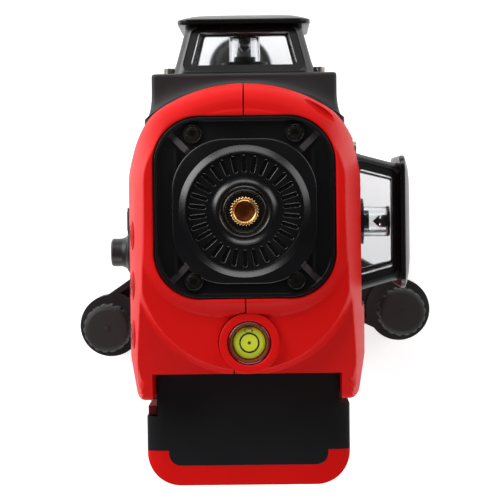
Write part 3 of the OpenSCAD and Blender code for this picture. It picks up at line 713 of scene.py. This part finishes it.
def body_cutters():
    """The holes in the body: battery bay, cages, keys, knob, port, screws and finger groove."""
    pocket_half, cage_hole_r, knob_hole_r, key_hole_r, screw_hole_r = 29, 19, 3.4, 5.1, 3.1
    cutters = [block("bay", (-BAY_HALF, -90, 66), (BAY_HALF, BAY_Y, 200)),
               block("pocket", (32.5, SIDE_Y - pocket_half, CAGE_Z - pocket_half),
                     (60, SIDE_Y + pocket_half, CAGE_Z + pocket_half)),
               rod("front_hole", cage_hole_r, (0, 30, CAGE_Z), (0, 80, CAGE_Z)),
               rod("side_hole", cage_hole_r, (20, SIDE_Y, CAGE_Z), (34, SIDE_Y, CAGE_Z)),
               rod("knob_hole", knob_hole_r, (-60, KNOB_Y, KNOB_Z), (-25, KNOB_Y, KNOB_Z)),
               rod("vial_hole", VIAL_BORE_R, (*VIAL, 150), (*VIAL, 200), 64),
               block("port_hole", (-47, 3.6, 118.5), (-35, 11.6, 123.5)),
               block("port_seat", (-47, 2.6, 115.4), (-41.2, 12.6, 127.2))]
    for y in KEY_Y:
        cutter = rod("key_hole", key_hole_r, (0, 0, -10), (0, 0, 10))
        cutter.data.transform(key_matrix(y))
        cutters.append(cutter)
    for y, z in ((-36, 74), (-36, 132), (30, 76)):
        cutters.append(rod("screw_hole", screw_hole_r, (-60, y, z), (-32.9, y, z), 32))
    cutters.append(finger_groove())
    return cutters


def half_space(side):
    """The space on one side of the parting line."""
    near = -PARTING if side == "left" else PARTING
    far = -FAR if side == "left" else FAR
    step = STEP_X + near
    plan = [(near, FAR), (near, STEP_Y), (step, STEP_Y), (step, -FAR), (far, -FAR), (far, FAR)]
    return prism("side", [(x, y, 0) for x, y in plan], [(x, y, 300) for x, y in plan])


def make_body():
    """The two red shells, with the vial's boss on the right one."""
    whole = body_mesh("body", angles_count=420, rows=76, inner_rows=22)
    for cutter in body_cutters():
        boolean(whole, cutter)
    half = {}
    for side in ("left", "right"):
        half[side] = copied(side + "_shell_skin", whole)
        boolean(half[side], half_space(side), "INTERSECT")
    bpy.data.objects.remove(whole)
    boolean(half["left"], rod("boss_room", VIAL_BOSS_R + 0.3, (*VIAL, 150), (*VIAL, 200), 96))
    profile = [(VIAL_BORE_R, 162), (VIAL_BOSS_R, 162), (VIAL_BOSS_R, 171.9), (10.05, 172.25),
               (9.8, 172.45), (9.5, 172.5), (7.9, 172.5), (7.6, 172.4), (VIAL_BORE_R, 172.1)]
    boolean(half["right"], lathe("boss", profile, (*VIAL, 0), 128), "UNION")
    for side, obj in half.items():
        smooth(obj, 32)
        dress(obj, "level", "red_plastic", side + "_shell")


# ---- the top plate ----
DISH_Z = 174.2  # floor of the ring that holds the slots
SLOTS = 30
DISH = [  # the round hollow in the pad, from the insert's seat over a ridge to the slots' floor
    (0, 165), (5.05, 165), (5.05, 174.4), (6.25, 174.4), (6.4, 174.62), (6.6, 174.84), (6.82, 174.9),
    (7.05, 174.84), (7.3, 174.68), (7.6, 174.66), (7.85, 174.95), (8.1, 175.3), (8.35, 175.52),
    (8.65, 175.6), (9.1, 175.56), (9.6, 175.42), (10.1, 175.18), (10.6, 174.84), (10.95, 174.5),
    (11.2, 174.27), (11.6, 174.21), (12.0, DISH_Z), (19.3, DISH_Z), (19.3, 175.65), (19.45, 175.85),
    (19.45, 180), (0, 180)]


def slot_cutter(angle):
    """A radial slot with round ends and a chamfer along its mouth."""
    half_width, start, end = 0.64, 12.9, 18.5
    quarter = math.pi / 2
    turn = Matrix.Rotation(angle, 2)
    rings = []
    for grow, rise in ((0, -1.0), (0, -0.26), (0.04, -0.08), (0.15, 0), (0.15, 1.1)):
        r = half_width + grow
        points = []
        for middle, first in ((end - half_width, -quarter), (start + half_width, quarter)):
            arc = np.linspace(first, first + math.pi, 9)
            points += [(middle + r * math.cos(a), r * math.sin(a)) for a in arc]
        rings.append([on_pad((*(turn @ Vector(p)), DISH_Z + rise)) for p in points])
    return stack("slot", rings)


def corner_rib(sx, sy):
    """A bar from the pad to the rim, whose top falls outwards."""
    half_width = 1.05
    side = [(23.0, 170.9), (23.0, 174.4), (27.0, 174.3), (34.7, 172.4), (34.7, 170.9)]
    rib = prism("rib", [(x, -half_width, z) for x, z in side], [(x, half_width, z) for x, z in side])
    rib.data.transform(Matrix.Translation(Vector((0, PLATE_Y, 0)) * MM)
                       @ Matrix.Rotation(math.atan2(sy, sx), 4, "Z"))
    return rib


def on_rib_top(face):
    """Whether a face of the plate is the top of a corner rib, which is painted lighter as a highlight."""
    x, y, z = face.center / MM
    across, along = abs(abs(x) - abs(y - PLATE_Y)), math.hypot(x, y - PLATE_Y)
    return across < 2 and 26.9 < along < 34.7 and z > 171.5 and 0.8 < face.normal.z < 0.999


def make_plate():
    """The top plate: a rimmed well, the pad with its dish and slots, ribs, rails and screw seats."""
    corners = ((1, 1), (-1, 1), (-1, -1), (1, -1))
    seats = [(sx * PLATE_SCREW[0], PLATE_Y + sy * PLATE_SCREW[1], 0) for sx, sy in corners]
    pad_middle = on_pad((0, 0, 0))
    plate = ring_stack("top_plate_fine", PLATE_HALF + 1.2, PLATE_R + 1.2, [(0, 170.5), (0, 172.2)],
                       on_plate)
    tower = ring_stack("tower", PLATE_HALF - 0.1, PLATE_R,
                       [(0, 170.6), (0, 175.2), (0.12, 175.42), (0.3, 175.5)], on_plate, steps=20)
    well = [(0.5, 172.5), (0.12, 172.6), (0, 172.9), (0, 175.42), (-0.07, 175.6), (-0.07, 180)]
    boolean(tower, ring_stack("well", PLATE_HALF - 1.2, PLATE_R - 1.1, well, on_plate, steps=20))
    pad = [(0, 170.7), (0, 174.1), (0.12, 174.38), (0.35, 174.5), (0.8, 174.56)]
    parts = [tower, ring_stack("pad", PAD_HALF, PAD_R, pad, on_pad, steps=24)]
    boss = [(0, 170.8), (3.4, 170.8), (3.4, 173.4), (3.2, 173.8), (0, 173.8)]
    rail_x, rail_half, rail_start, rail_end = PAD_HALF - 1.2, 0.6, 8, 20.5
    for (sx, sy), seat in zip(corners, seats):
        parts.append(corner_rib(sx, sy))
        parts.append(lathe("screw_boss", boss, seat, 48))
        low, high = sorted((PAD_Y + sy * rail_start, PAD_Y + sy * rail_end))
        parts.append(block("rail", (sx * rail_x - rail_half, low, 170.9),
                           (sx * rail_x + rail_half, high, 174.1)))
    rim = [(0, 172), (22.0, 172), (22.0, 174.5), (21.75, 174.66), (21.2, 175.02), (20.5, 175.42),
           (19.9, 175.7), (19.5, 175.82), (0, 175.84)]
    parts.append(lathe("rim", rim, pad_middle, 160))
    for part in parts:
        boolean(plate, part, "UNION")
    boolean(plate, lathe("dish", DISH, pad_middle, 144))
    for i in range(SLOTS):
        boolean(plate, slot_cutter(2 * math.pi * (i + 0.5) / SLOTS))
    hole = [(0, 160), (1.55, 160), (1.55, 171.6), (2.4, 171.6), (2.4, 173.6), (2.74, 173.81), (2.74, 180),
            (0, 180)]
    for seat in seats:
        boolean(plate, lathe("hole", hole, seat, 48))
    weld(plate)
    smooth(plate, 28)
    dress(plate, "level", "black_textured", "top_plate")
    # the rib tops get the lighter black: a painted highlight
    plate.data.materials.append(M["rib_painted_highlight"])
    for face in plate.data.polygons:
        face.material_index = int(on_rib_top(face))


def make_insert():
    """The brass insert: knurled outside, threaded inside."""
    teeth, tooth, pitch, thread_r, thread_depth = 28, 0.5, 1.27, 3.2, 0.32
    bottom, thread_top = 170.6, 174.9

    def wave(a, r, z):
        if r > 4.3 and z > 174.4:
            return r - tooth * (0.5 + 0.5 * math.cos(a * teeth))
        if 3.1 < r < 3.5 and bottom + 0.2 < z < thread_top:
            phase = (z / pitch + a / (2 * math.pi)) % 1
            return thread_r + thread_depth * abs(2 * phase - 1)
        return r

    outside = [(4.95, bottom), (4.95, 173.9), (4.95, 174.6), (4.95, 175.3), (4.85, 175.5), (4.6, 175.58)]
    mouth = [(4.25, 175.6), (3.7, 175.5), (3.45, 175.3), (3.3, 174.95)]
    bore = [(3.3, z) for z in np.linspace(174.85, bottom + 0.5, 44)]
    floor = [(3.05, bottom + 0.9), (0, bottom + 0.3), (0, bottom)]
    obj = lathe("top_insert_fine", outside + mouth + bore + floor, on_pad((0, 0, 0)), 192, wave)
    smooth(obj, 50)
    dress(obj, "level", "brass", "top_insert")
    obj.data.materials.append(M["brass_painted_bore_shade"])
    # faces inside the bore get the darker brass: painted shade
    for face in obj.data.polygons:
        x, y, z = face.center / MM
        face.material_index = int(math.hypot(x, y - PAD_Y) < 3.6 and bottom + 0.1 < z < thread_top)


def vial_part(name, profile, slot, *nodes, segments=96, material=None):
    """A round piece about the vial's middle."""
    obj = lathe(name, profile, (*VIAL, 0), segments)
    smooth(obj)
    dress(obj, "level", slot, *nodes, material=material)


def make_vial():
    """The round vial: cup, liquid, and the ring, dot and bubble that lie in it."""
    cup = [(5.6, 163.6), (7.15, 163.6), (7.15, 171.6), (7.0, 171.95), (6.7, 172.1), (6.4, 172.0),
           (6.1, 171.5), (5.85, 170.9), (5.6, 170.3)]
    liquid = [(0, 165), (5.55, 165), (5.55, 169.4), (5.3, 169.8), (4.6, 170.05), (2.2, 170.2), (0, 170.22)]
    ring = [(2.9, 170.05), (3.4, 170.0), (3.4, 170.22), (2.9, 170.27)]
    dot = [(0, 170.15), (0.62, 170.15), (0.56, 170.27), (0, 170.3)]
    vial_part("vial_cup_fine", cup, "clear_acrylic", "vial_cup", segments=128)
    vial_part("vial_liquid_fine", liquid, "vial_green", "vial_liquid")
    vial_part("vial_ring", ring, "black_plastic", material="ink")
    vial_part("vial_dot", dot, "black_plastic", segments=32, material="olive_ink")
    bubble = lathe("vial_bubble", [(0.82, 0.0), (0.98, 0.02), (1.02, 0.12), (0.92, 0.2), (0.82, 0.14)],
                   segments=48)
    bubble.data.transform(Matrix.Translation(Vector((VIAL[0] - 0.2, VIAL[1] + 4.1, 170.02)) * MM)
                          @ Matrix.Diagonal((1.4, 0.75, 1, 1)))
    smooth(bubble)
    dress(bubble, "level", "clear_acrylic")


# ---- window cages ----
CAGE_HALF = 25.0
CAGE_END_HALF = 20.5
CAGE_SLOPE = (CAGE_HALF - CAGE_END_HALF) / CAGE_LEN
CAGE_R = 4.5
CAGE_WALL = 3.0
CAGE_STRUT = 5.5
CAGE_RIM = 2.7
CAGE_REBATE = 1.1
CAGE_EDGE = 1.0  # left standing at a cage's foot and end
CAP_HALF = 23.25
SCREW_X = 26.3
SCREW_Y = 18.9
HEAD_R = 2.1  # room for a cage screw's head


def cage_half(w):
    """Half of a cage's width at a distance w from its foot."""
    return CAGE_HALF - CAGE_SLOPE * w


def cage_cutter(name, side, low, high, margin, radius, depth, place):
    """A round-cornered opening in one of a cage's four faces, cut to a depth below the face."""
    flat = rounded([(cage_half(low) - margin, low), (cage_half(high) - margin, high),
                    (margin - cage_half(high), high), (margin - cage_half(low), low)], radius)
    turn = Matrix.Rotation(math.pi / 2 * side, 2)

    def point(u, out, w):
        x, y = turn @ Vector((u, out))
        return place((x, y, w))

    near = [point(u, cage_half(w) - depth, w) for u, w in flat]
    far = [point(u, cage_half(0) + 5, w) for u, w in flat]
    return prism(name, near, far)


def make_cages():
    """Window frames: an outer rim, a rebate inside it and the window through the wall.

    One window of the front and side cages runs on to the end cap.
    """
    around = np.linspace(0, 2 * math.pi, 33)[:-1]
    for name, place, long_side in (("front_cage", on_front, 0), ("side_cage", on_side, 2),
                                   ("bottom_cage", on_bottom, None)):
        profile = [(0.35, 0), (0.1, 0.1), (0.06, 0.35)]
        profile += [(CAGE_SLOPE * w, w) for w in (1, CAGE_LEN - 0.3, CAGE_LEN)]
        cage = ring_stack(name + "_fine", CAGE_HALF, CAGE_R, profile, place, steps=8, taper=0)
        inner = [(CAGE_SLOPE * w + CAGE_WALL, w) for w in (-1, CAGE_LEN + 1)]
        boolean(cage, ring_stack("hollow", CAGE_HALF, CAGE_R, inner, place, steps=4, taper=0))
        for side in range(4):
            boolean(cage, cage_cutter("rebate", side, CAGE_EDGE, CAGE_LEN - CAGE_EDGE, CAGE_RIM, 2.6,
                                      CAGE_REBATE, place))
            high = CAGE_LEN - (0.4 if side == long_side else 2.6)
            boolean(cage, cage_cutter("window", side, 3.2, high, CAGE_STRUT, 1.0, 2 * CAGE_WALL, place))
        for x in (-SCREW_X, SCREW_X):
            for y in (-SCREW_Y, SCREW_Y):
                notch = [(x + HEAD_R * math.cos(a), y + HEAD_R * math.sin(a)) for a in around]
                boolean(cage, prism("notch", [place((u, v, -1)) for u, v in notch],
                                    [place((u, v, 5)) for u, v in notch]))
        weld(cage)
        bevel(cage, 0.22, 40)
        smooth(cage, 30)
        dress(cage, "level", "black_textured", name)


def make_caps():
    """The crowned caps on the ends of the front and side cages."""
    profile = [(0.5, 0.02), (0.1, 0.25), (0, 0.7), (0, 1.5), (0.25, 1.85), (0.9, 2.1), (2.2, 2.65),
               (4.5, 3.35), (7.5, 3.82), (11, 4.04), (15, 4.16), (19, 4.2)]
    for name, place in (("front_cap", on_front), ("side_cap", on_side)):
        rings = [(i, CAGE_LEN + z) for i, z in profile]
        cap = ring_stack(name + "_fine", CAP_HALF, CAGE_R, rings, place, steps=14, taper=0.02)
        smooth(cap, 25)
        dress(cap, "level", "black_textured", name)


# ---- the front collar ----
def front_wall_y(x):
    """Where the body's front stands, seen from above."""
    ax = abs(x)
    front = FRONT_Y + math.sqrt(FRONT_R ** 2 - ax ** 2)
    if ax <= CORNER_X * FRONT_R / (FRONT_R - CORNER_R):
        return front
    return CORNER_Y + math.sqrt(max(CORNER_R ** 2 - (ax - CORNER_X) ** 2, 0))


def make_collar():
    """The black frame in front of the body, which flares as it meets the red skin."""
    half, tall, flare, reach, spacing, behind = 32.0, 29.0, 2.4, 9.0, 1.5, 3.0
    plan = [(x * half / tall, z) for x, z in rounded_square(tall, 1.2, 4)]
    dense = []
    for i, (x0, z0) in enumerate(plan):
        x1, z1 = plan[(i + 1) % len(plan)]
        steps = max(1, int(math.hypot(x1 - x0, z1 - z0) / spacing))
        dense += [(x0 + (x1 - x0) * k / steps, z0 + (z1 - z0) * k / steps) for k in range(steps)]
    rings = []
    for inset, back in ((0.9, 0), (0.3, 0.2), (0.05, 0.7), (0, 1.2)):
        rings.append([(x * (1 - inset / half), FRONT_FOOT_Y - back, z * (1 - inset / tall))
                      for x, z in dense])
    for t in np.linspace(1, 0, 12):
        ring = []
        for x, z in dense:
            wall = front_wall_y(min(abs(x), half))
            away = min(reach, FRONT_FOOT_Y - 1.4 - wall) * t
            grow = flare * (1 - math.sqrt(1 - (1 - t) ** 2))
            ring.append((x * (1 + grow / half), wall + away, z * (1 + grow / tall)))
        rings.append(ring)
    rings.append([(x, y - behind, z) for x, y, z in rings[-1]])

    # the back is a fan round one point inside the body, as its edge isn't flat
    count = len(dense)
    verts = [(x, y, CAGE_Z + z) for ring in rings for x, y, z in ring] + [(0, 44, CAGE_Z)]
    last = (len(rings) - 1) * count
    faces = tube_faces(len(rings), count) + [tuple(range(count))]
    faces += [(last + i, last + (i + 1) % count, len(verts) - 1) for i in range(count)]
    collar = mesh_object("front_collar_fine", verts, faces)
    fix_normals(collar)
    hole_r, screw_r = 17, 1.25
    boolean(collar, rod("hole", hole_r, (0, 20, CAGE_Z), (0, 70, CAGE_Z), 64))
    for x in (-SCREW_X, SCREW_X):
        for z in (-SCREW_Y, SCREW_Y):
            boolean(collar, rod("screw", screw_r, (x, 53, CAGE_Z + z), (x, 62, CAGE_Z + z), 24))
    smooth(collar, 40)
    dress(collar, "level", "black_plastic", "front_collar")


# ---- battery ----
def make_battery():
    """Copies of the battery's two halves, with a crown that falls away along both sides."""
    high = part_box("battery_case")[1].z / MM
    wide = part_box("battery_case")[1].x / MM
    crown_w, crown_h = 6.4, 2.6
    profile = [(wide, 0)]
    for a in np.linspace(0, math.pi / 2, 14):
        profile.append((wide - crown_w * (1 - math.cos(a)), high - crown_h * (1 - math.sin(a))))
    profile += [(-x, z) for x, z in reversed(profile)]
    for node, width in (("battery_case", 0.25), ("battery_cover", 0.3)):
        obj = copied(node + "_fine", frame["nodes"][node])
        weld(obj)
        boolean(obj, prism("crown", [(x, -120, z) for x, z in profile], [(x, 0, z) for x, z in profile]),
                "INTERSECT")
        weld(obj)
        bevel(obj, width, 40)
        smooth(obj, 35)
        dress(obj, "battery", NODE_SLOT[node], node)


def make_port_cover():
    """A rubber flap with three grip ribs."""
    front_y, back_y, hinge_z = 12.3, 2.9, 126.0
    flap = block("port_cover_fine", (-42.75, back_y, 115.7), (-41.5, front_y, 125.4))
    parts = [block("rib", (-43.25, 4.2, z), (-42.6, 11.0, z + 0.8)) for z in (117.2, 119.4, 121.6)]
    parts.append(rod("hinge", 0.7, (-42.1, back_y, hinge_z), (-42.1, front_y, hinge_z), 24))
    for part in parts:
        boolean(flap, part, "UNION")
    weld(flap)
    bevel(flap, 0.2, 40)
    smooth(flap, 30)
    dress(flap, "port_cover", NODE_SLOT["port_cover"], "port_cover")


# ---- keys ----
def stroke(name, points, closed):
    """A raised line through points, at the height of a key's signs."""
    data = bpy.data.curves.new(name, "CURVE")
    data.dimensions = "3D"
    data.bevel_depth = 0.14 * MM
    data.bevel_resolution = 2
    spline = data.splines.new("POLY")
    spline.points.add(len(points) - 1)
    for point, (x, y) in zip(spline.points, points):
        point.co = (x * MM, y * MM, KEY_SIGN_H * MM, 1)
    spline.use_cyclic_u = closed
    obj = bpy.data.objects.new(name, data)
    bpy.context.scene.collection.objects.link(obj)
    graph = bpy.context.evaluated_depsgraph_get()
    mesh = bpy.data.meshes.new_from_object(obj.evaluated_get(graph))
    bpy.data.objects.remove(obj)
    made = bpy.data.objects.new(name, mesh)
    bpy.context.scene.collection.objects.link(made)
    return made


def make_keys():
    """The three round keys, each with a ring and a plain sign."""
    ring_r = 3.7
    circle = [(ring_r * math.cos(a), ring_r * math.sin(a)) for a in np.linspace(0, 2 * math.pi, 40)[:-1]]
    signs = {
        "key_mode": [[(-1.8, 0), (1.8, 0)], [(0, -1.8), (0, 1.8)]],
        "key_pulse": [[(-1.2, -2.0), (-1.2, -0.8), (1.2, -0.8), (1.2, 0.8), (-1.2, 0.8), (-1.2, 2.0)]],
        "key_level": [[(-1.0, -1.9), (1.6, 0), (-1.0, 1.9)]],
    }
    profile = [(0, -4.4), (6.0, -4.4), (6.0, -3.2), (4.8, -3.2), (4.8, -0.1), (4.65, 0.2), (4.3, 0.36),
               (3.5, 0.4), (0, 0.36)]
    for y, name in zip(KEY_Y, signs):
        cap = lathe(name + "_fine", profile)
        cap.data.transform(key_matrix(y))
        smooth(cap)
        dress(cap, name, "key_red", name, material="red_plastic")
        for i, line in enumerate([circle] + signs[name]):
            sign = stroke(f"{name}_sign_{i}", line, closed=(i == 0))
            sign.data.transform(key_matrix(y))
            smooth(sign, 60)
            dress(sign, name, "key_red", material="grey_ink")


# ---- everything else keeps its CAD shape, with edges rounded by these radii ----
EDGES = {
    "base_frame": 0.8, "tripod_insert": 0.3, "foot_bushes": 0.3, "turntable": 0.4,
    "turntable_bolt": 0.3, "mount_stud": 0.3, "top_plate_screws": 0.22, "side_collar": 0.4,
    "bottom_collar": 0.8, "bottom_cap": 0.5, "cage_screws": 0.3, "shell_screws": 0.3,
    "gimbal_bracket": 0.3, "gimbal_ring": 0.3, "gimbal_pins": 0.2, "pendulum_frame": 0.5,
    "front_module": 0.3, "side_module": 0.3, "bottom_module": 0.3, "damping_plate": 0.3,
    "damping_magnets": 0.4, "lock_knob": 0.3, "lock_slider": 0.3, "main_board": 0.1,
    "charge_socket": 0.2, "battery_cells": 0.5, "battery_terminals": 0.1, "battery_latch": 0.3,
    "front_glass": 0, "side_glass": 0, "bottom_glass": 0, "module_tubes": 0.1, "cone_mirrors": 0,
}
for foot in ("left", "right", "front"):
    EDGES["foot_knob_" + foot] = 0.3
    EDGES["foot_stud_" + foot] = 0.3
    EDGES["foot_pad_" + foot] = 0.5


# ---- camera, floor and lights ----
def make_camera():
    """A camera nearly straight above the part, which looks down on its top plate."""
    data = bpy.data.cameras.new("camera")
    data.lens = 122.2
    data.sensor_width = 36
    data.clip_start, data.clip_end = 0.01, 100
    camera = bpy.data.objects.new("camera", data)
    bpy.context.scene.collection.objects.link(camera)
    eye = Vector((0.0076, 0.0147, 0.736))
    target = Vector((0.00166, -0.0018, 0.176))
    back = (eye - target).normalized()
    front = Vector((0.0122, 1, 0))  # towards the top of the picture
    right = front.cross(back).normalized()
    up = back.cross(right)
    turn = Matrix((right, up, back)).transposed().to_4x4()
    camera.matrix_world = Matrix.Translation(eye) @ turn
    bpy.context.scene.camera = camera


def area_light(name, place, aim_z, size, power):
    """A soft white light that points at the part's middle at a height. Metres and watts."""
    data = bpy.data.lights.new(name, "AREA")
    data.shape = "RECTANGLE"
    data.size, data.size_y = size
    data.energy = power
    light = bpy.data.objects.new(name, data)
    bpy.context.scene.collection.objects.link(light)
    light.location = place
    light.rotation_mode = "QUATERNION"
    light.rotation_quaternion = (Vector((0, 0, aim_z)) - Vector(place)).to_track_quat("-Z", "Y")


def make_studio():
    """A pale floor, which glows more with distance so that it stays white, and four soft lights."""
    half, thick, top = 30000, 20, FLOOR_Z / MM
    floor = block("floor", (-half, -half, top - thick), (half, half, top))
    mat, tree, shader = new_tree("pale floor")
    shade = noise(tree, 6, 3)
    tree.links.new(blend_colour(tree, shade, (0.86, 0.86, 0.86), (0.9, 0.9, 0.9)),
                   shader.inputs["Base Color"])
    shader.inputs["Roughness"].default_value = 0.6
    shader.inputs["Emission Color"].default_value = (1, 1, 1, 1)
    coords = tree.nodes.new("ShaderNodeTexCoord")
    reach = tree.nodes.new("ShaderNodeVectorMath")
    reach.operation = "LENGTH"
    tree.links.new(coords.outputs["Object"], reach.inputs[0])
    tree.links.new(spread(tree, reach.outputs["Value"], 0.56, 0.95, 0.35, 1.1),
                   shader.inputs["Emission Strength"])
    floor.data.materials.append(mat)
    area_light("key left", (-0.82, 0.58, 0.6), 0.12, (0.7, 0.9), 11.5)
    area_light("fill right", (0.87, 0.48, 0.6), 0.12, (0.6, 0.9), 4.6)
    area_light("back top", (0.0, 0.95, 0.75), 0.14, (0.9, 0.5), 4.2)
    area_light("front low", (0.0, -0.9, 0.6), 0.14, (0.9, 0.5), 5.6)
    world = bpy.data.worlds.new("studio")
    world.use_nodes = True
    background = world.node_tree.nodes["Background"]
    background.inputs["Color"].default_value = (1, 1, 1, 1)
    background.inputs["Strength"].default_value = 0.05
    bpy.context.scene.world = world
    bpy.context.scene.view_settings.view_transform = "Standard"


make_camera()
make_studio()
make_body()
make_plate()
make_insert()
make_vial()
make_cages()
make_caps()
make_collar()
make_battery()
make_port_cover()
make_keys()
for node_name, edge_width in EDGES.items():
    refined(node_name, edge_width)
